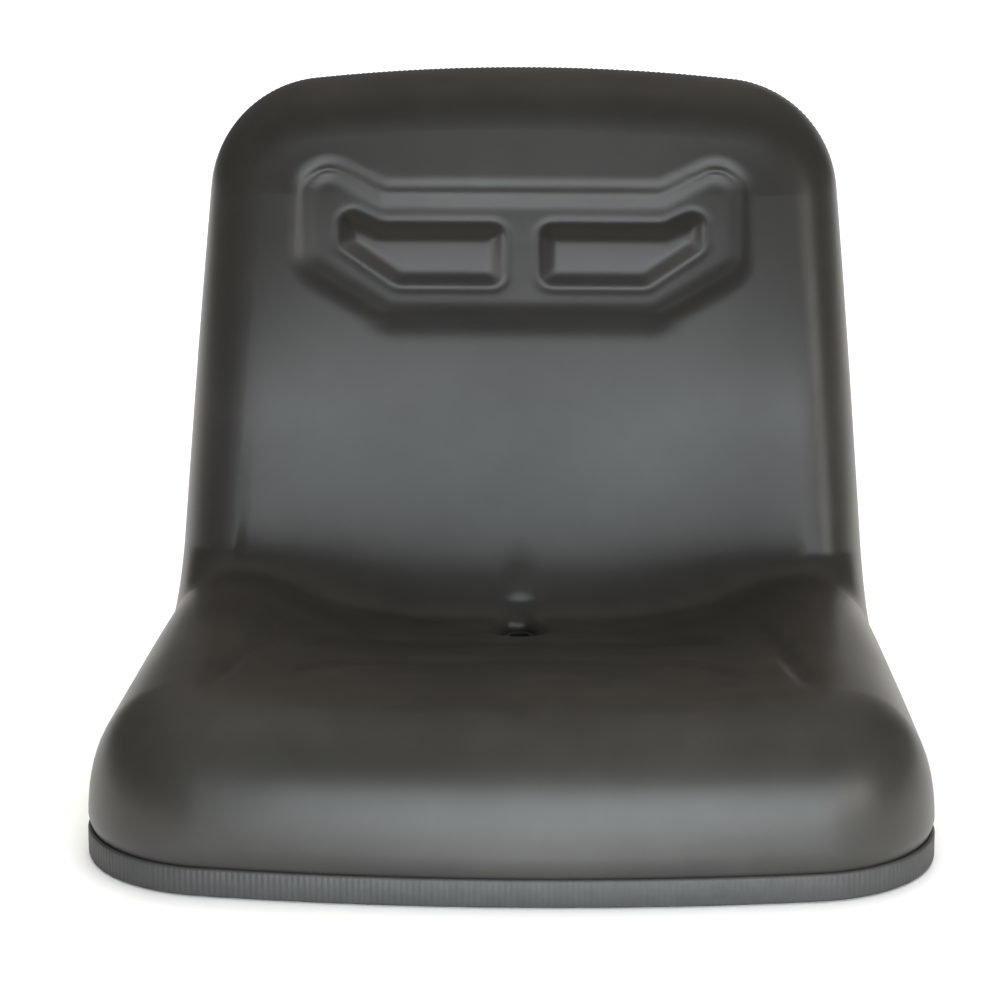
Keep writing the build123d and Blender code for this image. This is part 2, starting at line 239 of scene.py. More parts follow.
class StudioSettings(bpy.types.PropertyGroup):
    """Camera and lights."""

    camera_place: FloatVectorProperty(
        name="Camera",
        description="Place of the camera",
        default=(0.04336, -1.95431, 0.67835),
        subtype="TRANSLATION",
    )
    camera_tilt: angle("Camera tilt", 75.37, "Turn of the camera about its own level axis")
    camera_turn: angle("Camera turn", 1.55, "Turn of the camera about the upright")
    camera_lens: number("Lens", 123.27, "Focal length in millimetres")
    front_power: number("Front power", 3.4, "Power of the low front light in watts")
    right_power: number("Right power", 5.4, "Power of the light at the front right in watts")
    rear_power: number("Rear power", 2.2, "Power of the light at the rear right in watts")
    pool_power: number("Pool power", 0.45, "Power of the light on the floor in front in watts")
    front_colour: colour("Front colour", (0.86, 0.95, 1.0), "Colour of the front light")
    top_power: number("Top power", 185.0, "Power of the overhead light in watts")
    top_colour: colour("Top colour", (1.0, 0.97, 0.92), "Colour of the overhead light")
    far_power: number("Far power", 260.0, "Power of the light over the far floor in watts")
    world_strength: number("World strength", 0.12, "Strength of the surrounding light")


# Name, place, target, size, colour, spread, and whether it shows in glossy surfaces
LIGHTS = (
    ("front", (0.09, -0.62, 0.14), (0.09, 0.0, 0.14), (0.74, 0.27), "front", math.pi, True),
    ("right", (1.2, -1.0, 0.38), (0.0, 0.1, 0.25), (0.8, 0.4), "top", math.pi, True),
    ("rear", (1.2, 3.0, 0.50), (0.1, 0.0, 0.1), (1.6, 0.8), "top", math.pi, True),
    ("pool", (0.015, -0.38, 0.80), (0.015, -0.38, 0.0), (0.16, 0.08), "front", 0.25, False),
    ("top", (0.0, 0.9, 3.2), (0.0, 0.4, 0.0), (4.0, 4.0), "top", math.pi, False),
    ("far", (0.0, 5.2, 3.6), (0.0, 5.2, 0.0), (6.0, 4.0), "top", math.pi, False),
)

SETTINGS = {
    "seat_blank": SeatBlank,
    "seat_cushion": CushionSizes,
    "seat_relief": ReliefSizes,
    "seat_trim": TrimSizes,
    "seat_finishes": SeatFinishes,
    "seat_studio": StudioSettings,
}


def ease(value, start, end):
    """A smooth step from 0 at start to 1 at end."""
    share = np.clip((value - start) / (end - start), 0.0, 1.0)
    return share * share * (3.0 - 2.0 * share)


def circle_through(a, b, c):
    """Centre and radius of the circle through three points."""
    rows = np.array([(b[0] - a[0], b[1] - a[1]), (c[0] - a[0], c[1] - a[1])])
    sides = np.array([b[0] ** 2 + b[1] ** 2, c[0] ** 2 + c[1] ** 2]) - (a[0] ** 2 + a[1] ** 2)
    centre = np.linalg.solve(2.0 * rows, sides)
    return centre, math.hypot(*(centre - a))


def fillet_centre(one, other, radius, corner):
    """Centre of a fillet inside two circles, at the crossing next to a corner."""
    (a, ra), (b, rb) = one, other
    ra, rb = ra - radius, rb - radius
    way = b - a
    gap = math.hypot(*way)
    way = way / gap
    near = (gap**2 + ra**2 - rb**2) / (2.0 * gap)
    off = math.sqrt(ra**2 - near**2) * np.array([-way[1], way[0]])
    crossings = (a + near * way + off, a + near * way - off)
    return min(crossings, key=lambda point: math.hypot(*(point - corner)))


class SeatForm:
    """The seat's shape as formulas over arrays of blank places (across, along, rise)."""

    arc_points = 120

    def __init__(self, scene):
        self.blank, self.cushion = scene.seat_blank, scene.seat_cushion
        self.relief, self.trim = scene.seat_relief, scene.seat_trim
        blank, cushion, trim = self.blank, self.cushion, self.trim
        self.bend_angle = math.pi / 2 - blank.recline
        self.bend_end = blank.seat_run + blank.bend_radius * self.bend_angle
        self.drain_along = blank.seat_run + cushion.drain_setback
        self.hem_outer = trim.wall + trim.gap
        self.hem_inner = self.hem_outer + cushion.hem
        self.flange_outer = self.hem_inner + trim.gap
        self.arcs = self.outline_arcs()
        self.middle_curve = self.face_curve(cushion.foot_reach, cushion.foot_rise)
        self.side_curve = self.face_curve(cushion.side_foot_reach, cushion.side_foot_rise)

    def outline_arcs(self):
        """Arcs of the right half outline, from the front centre to the top centre: centre, radius, turn."""
        blank = self.blank
        front_end = np.array([blank.seat_half_width, blank.front_bow])
        waist = np.array([blank.waist_half_width, blank.waist_along])
        top_end = np.array([blank.top_half_width, blank.blank_length - blank.top_bow])
        front_radius = (front_end @ front_end) / (2.0 * blank.front_bow)
        top_radius = (blank.top_half_width**2 + blank.top_bow**2) / (2.0 * blank.top_bow)
        front = (np.array([0.0, front_radius]), front_radius)
        side = circle_through(front_end, waist, top_end)
        top = (np.array([0.0, blank.blank_length - top_radius]), top_radius)
        front_corner = fillet_centre(front, side, blank.front_corner_radius, front_end)
        top_corner = fillet_centre(side, top, blank.top_corner_radius, top_end)
        rounds = (
            front,
            (front_corner, blank.front_corner_radius),
            side,
            (top_corner, blank.top_corner_radius),
            top,
        )
        ways = (front_corner - front[0], front_corner - side[0], top_corner - side[0], top_corner - top[0])
        turns = [-math.pi / 2] + [math.atan2(way[1], way[0]) for way in ways] + [math.pi / 2]
        return [(*place, start, end) for place, start, end in zip(rounds, turns, turns[1:])]

    def stretch(self, arcs, shares):
        """Places and outward directions at shares of the length of a run of arcs."""
        runs = []
        for centre, radius, start, end in arcs:
            turn = np.linspace(start, end, self.arc_points)
            across, along = centre[0] + radius * np.cos(turn), centre[1] + radius * np.sin(turn)
            runs.append(np.stack([across, along, turn], 1))
        run = np.concatenate(runs)
        steps = np.hypot(np.diff(run[:, 0]), np.diff(run[:, 1]))
        travel = np.concatenate([[0.0], np.cumsum(steps)])
        spots = np.asarray(shares) * travel[-1]
        across, along, turn = (np.interp(spots, travel, run[:, axis]) for axis in range(3))
        return np.stack([across, along, np.cos(turn), np.sin(turn)], 1)

    def side_loop(self, column_shares, row_shares):
        """A closed loop of outline places that fits the border of a grid, from its lower left corner."""
        front_arc, front_corner, side_arc, top_corner, top_arc = self.arcs
        front_middle = (front_corner[2] + front_corner[3]) / 2
        top_middle = (top_corner[2] + top_corner[3]) / 2
        front = self.stretch([front_arc, (*front_corner[:3], front_middle)], column_shares)
        side = self.stretch(
            [(*front_corner[:2], front_middle, front_corner[3]), side_arc, (*top_corner[:3], top_middle)],
            row_shares,
        )
        top = self.stretch([(*top_corner[:2], top_middle, top_corner[3]), top_arc], column_shares)
        bottom = np.concatenate([(front * MIRROR)[:0:-1], front])
        upper = np.concatenate([top, (top * MIRROR)[-2::-1]])
        return np.concatenate([bottom, side[1:-1], upper, (side * MIRROR)[-2:0:-1]])

    def brow(self, along):
        """Rise of the brow beside a place of the rim."""
        c, b = self.cushion, self.blank
        wing_end = self.bend_end + b.bend_radius
        side = ease(along, b.front_corner_radius, b.seat_run)
        rise = c.nose_height + (c.side_height - c.nose_height) * side
        rise = rise + (c.wing_height - c.side_height) * ease(along, b.seat_run, wing_end)
        return rise + (c.crown_height - c.wing_height) * ease(along, wing_end, b.blank_length)

    def roll(self, along):
        """Width of the rounded edge beside a place of the rim."""
        c, b = self.cushion, self.blank
        wide = c.nose_roll + (c.side_roll - c.nose_roll) * ease(along, b.front_corner_radius, b.seat_run)
        return wide + (c.back_roll - c.side_roll) * ease(along, b.seat_run, self.bend_end)

    def face_curve(self, foot_reach, foot_rise):
        """The face as places along the keel and their rises: dish, foot, back and crown."""
        c, b, panel = self.cushion, self.blank, self.relief.along
        lean, steps = c.lumbar_lean, self.arc_points
        back_run = panel - self.bend_end
        ahead, up = math.cos(self.bend_angle), math.sin(self.bend_angle)
        bend_depth, bend_height = b.seat_run + b.bend_radius * up, b.bend_radius * (1.0 - ahead)
        panel_depth = bend_depth + back_run * ahead - c.panel_height * up
        panel_height = bend_height + back_run * up + c.panel_height * ahead
        foot_turn = math.atan(foot_reach / (foot_rise * math.tan(lean)))
        foot_height = c.drain_height + foot_rise * (1.0 - math.cos(foot_turn))
        foot_depth = panel_depth - (panel_height - foot_height) * math.tan(lean)
        start_depth = foot_depth - foot_reach * math.sin(foot_turn)

        turn = np.linspace(0.0, foot_turn, steps)
        depth = start_depth + foot_reach * np.sin(turn)
        height = c.drain_height + foot_rise * (1.0 - np.cos(turn))
        depth = np.append(depth, np.linspace(foot_depth, panel_depth, steps)[1:])
        height = np.append(height, np.linspace(foot_height, panel_height, steps)[1:])

        beyond, below = depth - b.seat_run, b.bend_radius - height
        round_bend = np.arctan2(beyond, below)
        past_depth, past_height = depth - bend_depth, height - bend_height
        cases = [beyond <= 0.0, round_bend < self.bend_angle]
        along = np.select(
            cases,
            [depth, b.seat_run + b.bend_radius * round_bend],
            self.bend_end + past_depth * ahead + past_height * up,
        )
        rise = np.select(
            cases,
            [height, b.bend_radius - np.hypot(beyond, below)],
            past_height * ahead - past_depth * up,
        )

        dish = np.linspace(c.nose_roll, start_depth, steps)[:-1]
        dish_rise = c.nose_height + (c.drain_height - c.nose_height) * ease(dish, c.nose_roll, start_depth)
        top = np.linspace(panel, b.blank_length - c.back_roll, steps)[1:]
        top_rise = c.panel_height + (c.crown_height - c.panel_height) * ease(top, panel, top[-1])
        return np.concatenate([dish, along, top]), np.concatenate([dish_rise, rise, top_rise])

    def face(self, along, share):
        """Rise of the face before its dish, at a share of the way from its middle to its brow."""
        middle, side = np.interp(along, *self.middle_curve), np.interp(along, *self.side_curve)
        return middle + (side - middle) * share**2

    def edge_section(self, turn):
        """Inset and rise shares of the rounded edge's section at an angle from the rim."""
        power = 2.0 / self.cushion.roll_fullness
        return 1.0 - max(math.cos(turn), 0.0) ** power, math.sin(turn) ** power

    def inset(self, loop, distance, rise):
        """Blank places at a distance inside a loop of outline places."""
        across = loop[:, 0] - distance * loop[:, 2]
        along = loop[:, 1] - distance * loop[:, 3]
        return np.stack([across, along, np.broadcast_to(rise, across.shape)], 1)

    def fold(self, places):
        """Blank places once the blank is folded along the keel."""
        b = self.blank
        across, along, rise = places.T
        turn = np.clip((along - b.seat_run) / b.bend_radius, 0.0, self.bend_angle)
        beyond = np.maximum(along - self.bend_end, 0.0)
        level = np.minimum(along, b.seat_run)
        sine, cosine = np.sin(turn), np.cos(turn)
        y = level + b.bend_radius * sine + beyond * cosine - rise * sine
        z = self.trim.height + b.bend_radius * (1.0 - cosine) + beyond * sine + rise * cosine
        return np.stack([across, y - b.overall_depth / 2, z], 1)


def outline_distance(across, along, corners, rounding):
    """Signed distance to a closed outline with rounded outer corners, negative inside."""
    corners = np.array(corners)
    nearest = np.full(across.shape, FAR)
    inside = np.zeros(across.shape, bool)
    for (ax, ay), (bx, by) in zip(corners, np.roll(corners, -1, 0)):
        wx, wy = bx - ax, by - ay
        share = np.clip(((across - ax) * wx + (along - ay) * wy) / (wx * wx + wy * wy), 0.0, 1.0)
        nearest = np.minimum(nearest, np.hypot(across - ax - share * wx, along - ay - share * wy))
        crosses = (ay > along) != (by > along)
        inside ^= crosses & (across < ax + (along - ay) * wx / (wy if wy else TINY))
    return np.where(inside, -nearest, nearest) - rounding


def drawn_in(corners, distance):
    """A closed outline moved inwards by a distance; its corners run counter-clockwise."""
    moved = []
    for before, here, after in zip(np.roll(corners, 1, 0), corners, np.roll(corners, -1, 0)):
        first, second = here - before, after - here
        first, second = first / math.hypot(*first), second / math.hypot(*second)
        left_one, left_two = np.array([-first[1], first[0]]), np.array([-second[1], second[0]])
        moved.append(here + distance * (left_one + left_two) / (1.0 + left_one @ left_two))
    return np.array(moved)


def relief_height(form, across, along):
    """Height that the sunk field, its two pads and the lines round them add to the back's face."""
    r = form.relief
    up = along - r.along
    half_field = [
        (0.0, r.bottom), (r.foot, r.bottom), (r.half_width, r.hip), (r.half_width, r.shoulder),
        (r.horn_tip, r.horn), (r.horn_root, r.top), (0.0, r.top),
    ]
    other_half = [(-x, y) for x, y in half_field[-2:0:-1]]
    right_pad = [
        (r.pad_inner, r.pad_bottom), (r.pad_foot, r.pad_bottom), (r.pad_outer, r.pad_hip),
        (r.pad_outer, r.pad_shoulder), (r.pad_horn_across, r.pad_horn),
        (r.pad_root, r.pad_top), (r.pad_inner, r.pad_top),
    ]
    field_outline = drawn_in(np.array(half_field + other_half), r.corner)
    pad_outline = drawn_in(np.array(right_pad), r.pad_corner)
    to_field = outline_distance(across, up, field_outline, r.corner)
    to_pad = outline_distance(np.abs(across), up, pad_outline, r.pad_corner)
    field = r.field_depth * (1.0 - ease(to_field, -r.field_shoulder, r.field_shoulder))
    lines = sum(np.exp(-((distance / r.groove_width) ** 2)) for distance in (to_field, to_pad))
    drop = np.clip((r.pad_top - up) / (r.pad_top - r.pad_bottom), 0.0, 1.0)
    pad = (r.pad_height - r.pad_fall * drop**2) * (1.0 - ease(to_pad, -r.pad_wall, 0.0))
    return pad - field - r.groove_depth * lines


def lip_height(form, across, along):
    """Height of the small lip that the foam makes over the drain's pit."""
    c = form.cushion
    aside = across / c.lip_half_width
    above = (along - form.drain_along - c.lip_setback) / c.lip_half_rise
    return c.lip_height * np.exp(-(aside**2) - above**2)


def softened(heights, passes):
    """A grid of heights with its creases eased by a few passes of averaging."""
    for _ in range(passes):
        heights = (np.roll(heights, 1, 0) + 2.0 * heights + np.roll(heights, -1, 0)) / 4.0
        heights = (np.roll(heights, 1, 1) + 2.0 * heights + np.roll(heights, -1, 1)) / 4.0
    return heights


def eased_bend(form, grid, along):
    """A grid of folded places with the crease at the end of the keel's bend rounded off, up to its border."""
    c, end = form.cushion, form.bend_end
    near = ease(along, end - c.ease_reach, end - c.ease_reach / 2.0)
    near = near * (1.0 - ease(along, end + c.ease_reach / 2.0, end + c.ease_reach))
    columns = np.arange(grid.shape[1])
    inward = ease(np.minimum(columns, columns[::-1]), 0.0, c.ease_border)
    weight = (near * inward)[1:-1, :, None]
    for _ in range(c.ease_passes):
        between = (grid[:-2] + 2.0 * grid[1:-1] + grid[2:]) / 4.0
        grid[1:-1] += (between - grid[1:-1]) * weight
    return grid


def crease_depth(form, across, along):
    """Depth of the creases beside the seat's dish and of the pleats across it."""
    r = form.relief
    side = np.abs(across)
    share = np.clip((along - SLOT_START) / SLOT_RUN, -SLOT_OVERRUN, 1.0 + SLOT_OVERRUN)
    slot = SLOT_ACROSS - SLOT_DRAW * share
    fade = ease(along, *SLOT_FADE_IN) * (1.0 - ease(along, *SLOT_FADE_OUT))
    depth = r.slot_depth * fade * np.exp(-(((side - slot) / r.slot_width) ** 2))
    for middle, sweep, reach, power in PLEATS:
        valley = middle - sweep * (side / reach) ** power
        behind = along - valley
        spread = np.where(behind < 0.0, PLEAT_FRONT, PLEAT_BACK)
        ends = 1.0 - ease(side, reach - PLEAT_END, reach + PLEAT_END)
        depth = depth + r.pleat_depth * ends * np.exp(-((behind / spread) ** 2))
    return depth


def face_rise(form, brow_places, across, along):
    """Rise of the cushion's face at places inside the brow line, given the brow's right half."""
    power = form.cushion.dish_power
    width = np.interp(along, brow_places[:, 1], brow_places[:, 0])
    height = np.interp(along, brow_places[:, 1], brow_places[:, 2])
    share = np.clip(np.abs(across) / np.maximum(width, TINY), 0.0, 1.0)
    middle = form.face(along, share)
    return middle + (height - middle) * share**power * (power + 1.0 - power * share)


def sunk_pit(form, drain, folded):
    """Folded places pushed out of the drain's pit, square to its wall or straight down to its floor."""
    c = form.cushion
    way = folded[:, :2] - drain[:2]
    reach = np.maximum(np.hypot(way[:, 0], way[:, 1]), TINY)
    height = folded[:, 2] - c.pit_floor
    back_slope = c.pit_back_slope * ease(height, 0.0, c.pit_depth)
    slope = c.pit_slope + (back_slope - c.pit_slope) * ease(way[:, 1] / reach, -PIT_TURN, PIT_TURN)
    mouth = c.pit_floor_radius + slope * np.maximum(height, 0.0)
    mouth = mouth * (1.0 - ease(height, c.pit_depth, c.pit_top))
    slant = np.hypot(1.0, slope)
    inside = (mouth - reach) / slant
    push = 0.5 * (inside + np.sqrt(inside**2 + c.pit_rounding**2))
    push = push * (1.0 - ease(-inside, 0.0, PIT_FADE * c.pit_rounding))
    to_floor = (inside > 0.0) & (height < inside)
    moved = folded.copy()
    moved[:, :2] += way / reach[:, None] * np.where(to_floor, 0.0, push / slant)[:, None]
    moved[:, 2] -= np.where(to_floor, height, push * slope / slant)
    raised = np.maximum(moved[:, 2], c.pit_floor)
    moved[:, 2] = np.where(inside > -c.pit_rounding, raised, moved[:, 2])
    return moved


def face_rows(form):
    """Shares of the way up the face's middle for the mesh rows, close together where there is detail."""
    c, b, r = form.cushion, form.blank, form.relief
    start = form.hem_outer + c.nose_roll
    end = b.blank_length - form.hem_outer - c.back_roll
    drain, relief = form.drain_along, r.along
    spans = (
        (start, drain - DRAIN_BEFORE, WIDE_ROW),
        (drain - DRAIN_BEFORE, drain + DRAIN_AFTER, CLOSE_ROW),
        (drain + DRAIN_AFTER, relief - RELIEF_BEFORE, WIDE_ROW),
        (relief - RELIEF_BEFORE, relief + RELIEF_AFTER, FINE_ROW),
        (relief + RELIEF_AFTER, end, CLOSE_ROW),
    )
    places = [
        np.linspace(low, high, max(round((high - low) / step), 1), endpoint=False)
        for low, high, step in spans
    ]
    return (np.append(np.concatenate(places), end) - start) / (end - start)


def mesh_object(name, bm):
    """A smooth-shaded object from a finished bmesh."""
    bmesh.ops.recalc_face_normals(bm, faces=bm.faces)
    mesh = bpy.data.meshes.new(name)
    bm.to_mesh(mesh)
    bm.free()
    mesh.polygons.foreach_set("use_smooth", [True] * len(mesh.polygons))
    piece = bpy.data.objects.new(name, mesh)
    bpy.context.scene.collection.objects.link(piece)
    return piece


def extrude_loop(bm, edges, layer, places):
    """Extrudes a closed loop of edges and puts its new vertices at their places, by loop number."""
    made = bmesh.ops.extrude_edge_only(bm, edges=edges)["geom"]
    for item in made:
        if isinstance(item, bmesh.types.BMVert):
            item.co = places[item[layer]]
    return [item for item in made if isinstance(item, bmesh.types.BMEdge) and item.is_boundary]


def build_cushion(form):
    """The cushion: a grid for the face, loops down the rounded edge, round the hem and in under the foam."""
    c, trim = form.cushion, form.trim
    row_shares = face_rows(form)
    columns, rows = c.columns, len(row_shares) - 1
    column_shares = np.linspace(0.0, 1.0, columns // 2 + 1)
    loop = form.side_loop(column_shares, row_shares)
    brow_places = form.inset(loop, form.hem_outer + form.roll(loop[:, 1]), form.brow(loop[:, 1]))

    bm = bmesh.new()
    layer = bm.verts.layers.int.new("loop")
    bmesh.ops.create_grid(bm, x_segments=columns, y_segments=rows, size=1.0)
    bm.verts.ensure_lookup_table()
    flat = np.array([vert.co[:2] for vert in bm.verts])
    column = np.rint((flat[:, 0] + 1.0) / 2.0 * columns).astype(int)
    row = np.rint((flat[:, 1] + 1.0) / 2.0 * rows).astype(int)

    bottom = brow_places[: columns + 1]
    upper = brow_places[columns + rows : 2 * columns + rows + 1][::-1]
    right = brow_places[columns : columns + rows + 1]
    left = np.concatenate([brow_places[2 * columns + rows :], brow_places[:1]])[::-1]
    u = (column / columns)[:, None]
    v = row_shares[row][:, None]
    places = (1 - v) * bottom[column] + v * upper[column] + (1 - u) * left[row] + u * right[row]
    places -= (1 - u) * ((1 - v) * bottom[0] + v * upper[0])
    places -= u * ((1 - v) * bottom[-1] + v * upper[-1])
    across, along = places[:, 0], places[:, 1]
    right_half = brow_places[columns // 2 : columns // 2 + columns + rows + 1]
    places[:, 2] = face_rise(form, right_half, across, along)
    relief = np.zeros((rows + 1, columns + 1))
    relief[row, column] = relief_height(form, across, along)
    places[:, 2] += softened(relief, form.relief.softening)[row, column]
    places[:, 2] += lip_height(form, across, along) - crease_depth(form, across, along)

    drain = form.fold(np.array([[0.0, form.drain_along, 0.0]]))[0]
    grid, grid_along = np.zeros((*relief.shape, 3)), np.zeros(relief.shape)
    grid[row, column], grid_along[row, column] = form.fold(places), along
    folded = sunk_pit(form, drain, eased_bend(form, grid, grid_along)[row, column])

    loop_number = np.where(row == 0, column, 0)
    between = (row > 0) & (row < rows)
    loop_number = np.where(row == rows, 2 * columns + rows - column, loop_number)
    loop_number = np.where((column == columns) & between, columns + row, loop_number)
    loop_number = np.where((column == 0) & between, 2 * columns + 2 * rows - row, loop_number)
    for vert, place, turn_number in zip(bm.verts, folded, loop_number):
        vert.co = place
        vert[layer] = int(turn_number)

    edges = [edge for edge in bm.edges if edge.is_boundary]
    for share in np.linspace(1.0, 0.0, c.edge_rows + 1)[1:]:
        inset_share, rise_share = form.edge_section(math.pi / 2 * share**EDGE_ROW_POWER)
        rise = form.brow(loop[:, 1]) * rise_share
        distance = form.hem_outer + form.roll(loop[:, 1]) * inset_share
        distance = distance - c.overhang * (1.0 - inset_share) * ease(rise, 0.0, c.neck)
        edges = extrude_loop(bm, edges, layer, form.fold(form.inset(loop, distance, rise)))
    under = [(form.hem_outer, -c.hem_depth), (form.hem_inner, -c.hem_depth), (form.hem_inner, 0.0)]
    for turn in PAN_TURNS:
        inset_share, rise_share = form.edge_section(turn)
        under.append((form.flange_outer + c.pan_roll * inset_share, c.pan_rise * rise_share + trim.gap))
    for distance, rise in under:
        edges = extrude_loop(bm, edges, layer, form.fold(form.inset(loop, distance, rise)))
    bed = form.inset(loop, form.flange_outer + c.pan_roll, c.pan_rise + trim.gap)
    for share in BED_SHARES:
        ring = bed.copy()
        ring[:, 0] *= share
        ring[:, 1] = form.drain_along + (ring[:, 1] - form.drain_along) * share
        edges = extrude_loop(bm, edges, layer, form.fold(ring))

    def in_bore(face):
        """Whether a face lies over the drain's hole, on the pit's floor or above it."""
        middle = face.calc_center_median()
        aside = math.hypot(middle.x - drain[0], middle.y - drain[1])
        return middle.z > c.pit_floor - BORE_MARGIN and aside < c.bore_radius

    bore = [face for face in bm.faces if in_bore(face)]
    bmesh.ops.delete(bm, geom=bore, context="FACES")
    last = set(edges)
    rim = [edge for edge in bm.edges if edge.is_boundary and edge not in last]
    for vert in {vert for edge in rim for vert in edge.verts}:
        way = Vector((vert.co.x - drain[0], vert.co.y - drain[1]))
        way.normalize()
        vert.co = (drain[0] + way.x * c.bore_radius, drain[1] + way.y * c.bore_radius, c.pit_floor)
    bmesh.ops.bridge_loops(bm, edges=rim + edges)
    return mesh_object("cushion", bm)


def build_trim(form):
    """The edge trim: ribbed loops round its section, closed into a tube."""
    trim = form.trim
    blank_run = form.stretch(form.arcs, np.linspace(0.0, 1.0, RUN_POINTS))
    travel = np.hypot(np.diff(blank_run[:, 0]), np.diff(blank_run[:, 1])).sum()
    ribs = int(round(travel / trim.rib_pitch))
    half = form.stretch(form.arcs, np.linspace(0.0, 1.0, ribs * RIB_STEPS + 1))
    loop = np.concatenate([half, (half * MIRROR)[-2:0:-1]])
    phase = np.arange(len(loop)) % RIB_STEPS
    valley = np.where(phase >= RIB_STEPS // 2, trim.rib_depth, 0.0)

    slot_inner = form.flange_outer + trim.sheet + trim.gap
    inner = slot_inner + trim.wall
    near = trim.edge_radius * (1.0 - math.sqrt(0.5))
    section = (
        (trim.wall, 0.0, 0.0),
        (trim.edge_radius, 0.0, 0.0),
        (near, -near, RIB_EDGE),
        (0.0, -trim.edge_radius, 1.0),
        (0.0, trim.edge_radius - trim.height, 1.0),
        (near, near - trim.height, RIB_EDGE),
        (trim.edge_radius, -trim.height, 0.0),
        (inner - trim.edge_radius, -trim.height, 0.0),
        (inner - near, near - trim.height, 0.0),
        (inner, trim.edge_radius - trim.height, 0.0),
        (inner, -trim.lip_drop, 0.0),
        (slot_inner, -trim.lip_drop, 0.0),
        (slot_inner, trim.web - trim.height, 0.0),
        (trim.wall, trim.web - trim.height, 0.0),
    )
    rings = [
        form.fold(form.inset(loop, distance + valley * ribbed, rise)) for distance, rise, ribbed in section
    ]

    bm = bmesh.new()
    layer = bm.verts.layers.int.new("loop")
    first = bmesh.ops.create_circle(bm, cap_ends=False, radius=1.0, segments=len(loop))["verts"]
    for index, vert in enumerate(first):
        vert[layer] = index
        vert.co = rings[0][index]
    start = list(bm.edges)
    edges = start
    for ring in rings[1:]:
        edges = extrude_loop(bm, edges, layer, ring)
    bmesh.ops.bridge_loops(bm, edges=start + edges)
    return mesh_object("ribbed_trim", bm)


class Wire:
    """A socket in a material's node tree; arithmetic on it adds Math nodes."""

    def __init__(self, tree, socket=None):
        self.tree, self.socket = tree, socket

    def node(self, kind, settings=None, inputs=None, output=0):
        """Adds a node with its settings, then its socket values or links, and returns one of its outputs."""
        made = self.tree.nodes.new(kind)
        for key, value in (settings or {}).items():
            setattr(made, key, value)
        for key, value in (inputs or {}).items():
            if isinstance(value, Wire):
                self.tree.links.new(value.socket, made.inputs[key])
            else:
                made.inputs[key].default_value = value
        return Wire(self.tree, made.outputs[output])

    def math(self, operation, one, other):
        """A Math node of two values."""
        return self.node("ShaderNodeMath", {"operation": operation}, {0: one, 1: other})

    def __add__(self, other):
        return self.math("ADD", self, other)

    def __sub__(self, other):
        return self.math("SUBTRACT", self, other)

    def __rsub__(self, other):
        return self.math("SUBTRACT", other, self)

    def __mul__(self, other):
        return self.math("MULTIPLY", self, other)

    __radd__, __rmul__ = __add__, __mul__

    def mixed(self, low, high):
        """A colour between two others, this value being the share of the second."""
        return self.node(
            "ShaderNodeMix",
            {"data_type": "RGBA"},
            {"Factor": self, 6: (*low, 1.0), 7: (*high, 1.0)},
            output=2,
        )


def start_finish(name):
    """An empty material: its tree as a Wire, its shader and the Object coordinates."""
    material = bpy.data.materials.new(name)
    material.use_nodes = True
    tree = material.node_tree
    tree.nodes.clear()
    wire = Wire(tree)
    shader = tree.nodes.new("ShaderNodeBsdfPrincipled")
    output = tree.nodes.new("ShaderNodeOutputMaterial")
    tree.links.new(shader.outputs["BSDF"], output.inputs["Surface"])
    place = wire.node("ShaderNodeTexCoord", output="Object")
    return material, wire, shader, place


def plug(wire, shader, **links):
    """Links values to a shader's sockets, named with underscores for spaces."""
    for key, value in links.items():
        wire.tree.links.new(value.socket, shader.inputs[key.replace("_", " ").title()])


def noise(wire, place, scale, detail=3.0, rough=0.55):
    """A noise value with features of about one over scale metres."""
    inputs = {"Vector": place, "Scale": scale, "Detail": detail, "Roughness": rough}
    return wire.node("ShaderNodeTexNoise", None, inputs)


def bump(wire, height, strength, distance):
    """A normal from a height."""
    inputs = {"Height": height, "Strength": strength, "Distance": distance}
    return wire.node("ShaderNodeBump", None, inputs, output="Normal")


def between_levels(wire, value, low, high):
    """A value stretched so that it is 0 at a low level and 1 at a high one."""
    return wire.node("ShaderNodeMapRange", None, {"Value": value, "From Min": low, "From Max": high})


def shades(base, *factors):
    """Darker and lighter shades of a colour."""
    return (tuple(part * factor for part in base) for factor in factors)


def vinyl_finish(finishes):
    """Fine grained vinyl, a little rubbed, with uneven gloss."""
    material, wire, shader, place = start_finish("grained_vinyl")
    broad = noise(wire, place, 9.0, 4.0)
    cloud = noise(wire, place, 45.0, 3.0)
    grain = wire.node(
        "ShaderNodeTexVoronoi", {"feature": "DISTANCE_TO_EDGE"}, {"Vector": place, "Scale": 850.0}
    )
    pores = noise(wire, place, 2600.0, 2.0)
    worn = between_levels(wire, broad * 0.7 + cloud * 0.3, 0.42, 0.68)
    creases = between_levels(wire, grain, 0.0, 0.16)
    plug(
        wire,
        shader,
        base_color=worn.mixed(tuple(finishes.vinyl), tuple(finishes.vinyl_worn)),
        roughness=0.34 + 0.06 * cloud - 0.04 * worn,
        normal=bump(wire, creases * 0.7 + pores * 0.3, 0.10, 0.0002),
    )
    return material


def trim_finish(finishes):
    """Ribbed vinyl extrusion with fine drag marks."""
    material, wire, shader, place = start_finish("ribbed_vinyl")
    dust = noise(wire, place, 120.0, 4.0)
    marks = noise(wire, place, 1400.0, 2.0)
    # The trim colour's lighter tone is a painted highlight for light on the ribs; dust varies it at random
    low, high = shades(finishes.trim, 0.8, 1.35)
    plug(
        wire,
        shader,
        base_color=dust.mixed(low, high),
        roughness=0.42 + 0.18 * marks,
        normal=bump(wire, marks, 0.15, 0.0002),
    )
    return material


